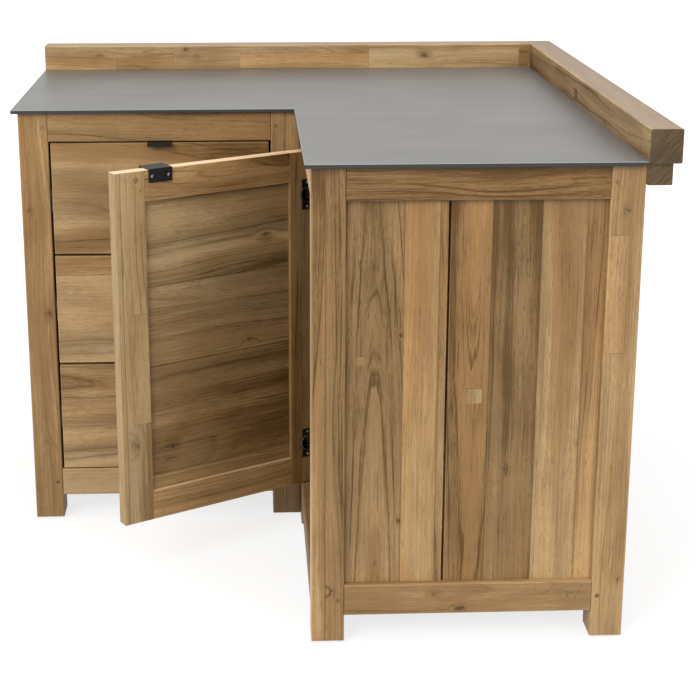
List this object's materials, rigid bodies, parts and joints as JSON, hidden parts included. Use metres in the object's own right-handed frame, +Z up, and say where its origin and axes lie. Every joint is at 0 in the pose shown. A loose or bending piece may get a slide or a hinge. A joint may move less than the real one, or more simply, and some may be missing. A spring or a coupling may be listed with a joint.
{
  "type": "outdoor kitchen corner cabinet",
  "caption": "L-shaped outdoor kitchen corner cabinet in teak with sliding drawers, a hinged framed door, a thin worktop and raised beams along the wall sides.",
  "frame": {"origin": "on the floor, under the middle of the cabinet's rectangular outline", "axes": "+Z up; the drawers face -Y and slide out along -Y; the door closes a doorway that faces -X; the wall sides are +X and +Y"},
  "size_m": [1.219, 1.219, 0.956],
  "materials": {
    "teak_frame": "oiled reclaimed teak",
    "teak_planks": "oiled reclaimed teak boards",
    "teak_pegs": "end grain",
    "worktop_slab": "honed, satin",
    "black_metal": "satin black",
    "screw_steel": "zinc plated",
    "runner_steel": "zinc plated",
    "black_plastic": "moulded"
  },
  "bodies": {
    "cabinet": {"end_post_left": "teak_frame", "end_post_right": "teak_frame", "left_front_post": "teak_frame", "inner_post_drawer_side": "teak_frame", "inner_post_door_side": "teak_frame", "inner_core_post": "teak_frame", "back_left_post": "teak_frame", "back_right_post": "teak_frame", "end_rails": "teak_frame", "drawer_bay_rails": "teak_frame", "doorway_rails": "teak_frame", "left_side_rails": "teak_frame", "back_rails": "teak_frame", "right_side_rails": "teak_frame", "inner_bearers": "teak_frame", "end_plank_narrow": "teak_planks", "end_plank_wide": "teak_planks", "end_plank_patches": "teak_pegs", "left_side_planks": "teak_planks", "back_planks": "teak_planks", "right_side_planks": "teak_planks", "floor_boards": "teak_planks", "drawer_bay_partition": "teak_planks", "runner_battens": "teak_frame", "worktop": "worktop_slab", "back_splash_beam": "teak_frame", "right_splash_beam": "teak_frame", "beam_battens": "teak_frame", "glides": "black_plastic", "frame_pegs": "teak_pegs", "hinge_arms": "black_metal", "hinge_mounting_plates": "black_metal", "cabinet_runner_rails": "runner_steel"},
    "door": {"door_free_stile": "teak_frame", "door_hinge_stile": "teak_frame", "door_top_rail": "teak_frame", "door_bottom_rail": "teak_frame", "door_panel": "teak_planks", "door_pull": "black_metal", "hinge_cups": "black_metal", "hinge_pins": "screw_steel", "door_screws": "screw_steel"},
    "top_runner_float": {"top_floating_rails": "runner_steel"},
    "top_drawer": {"top_drawer_front": "teak_planks", "top_drawer_box": "teak_planks", "top_drawer_bottom": "teak_planks", "top_drawer_pull": "black_metal", "top_drawer_rails": "runner_steel"},
    "middle_runner_float": {"middle_floating_rails": "runner_steel"},
    "middle_drawer": {"middle_drawer_front": "teak_planks", "middle_drawer_box": "teak_planks", "middle_drawer_bottom": "teak_planks", "middle_drawer_pull": "black_metal", "middle_drawer_rails": "runner_steel"},
    "bottom_runner_float": {"bottom_floating_rails": "runner_steel"},
    "bottom_drawer": {"bottom_drawer_front": "teak_planks", "bottom_drawer_box": "teak_planks", "bottom_drawer_bottom": "teak_planks", "bottom_drawer_pull": "black_metal", "bottom_drawer_rails": "runner_steel"}
  },
  "joints": [
    {"name": "door_hinge", "type": "hinge", "parent": "cabinet", "child": "door", "pos_m": [-0.0105, -0.1015, 0.473], "axis": [0, 0, 1], "range_deg": [-30, 60]},
    {"name": "top_runner_slide", "type": "slide", "parent": "cabinet", "child": "top_runner_float", "axis": [0, -1, 0], "range_m": [0, 0.1]},
    {"name": "top_drawer_slide", "type": "slide", "parent": "top_runner_float", "child": "top_drawer", "axis": [0, -1, 0], "range_m": [0, 0.1]},
    {"name": "middle_runner_slide", "type": "slide", "parent": "cabinet", "child": "middle_runner_float", "axis": [0, -1, 0], "range_m": [0, 0.1]},
    {"name": "middle_drawer_slide", "type": "slide", "parent": "middle_runner_float", "child": "middle_drawer", "axis": [0, -1, 0], "range_m": [0, 0.1]},
    {"name": "bottom_runner_slide", "type": "slide", "parent": "cabinet", "child": "bottom_runner_float", "axis": [0, -1, 0], "range_m": [0, 0.1]},
    {"name": "bottom_drawer_slide", "type": "slide", "parent": "bottom_runner_float", "child": "bottom_drawer", "axis": [0, -1, 0], "range_m": [0, 0.1]}
  ]
}
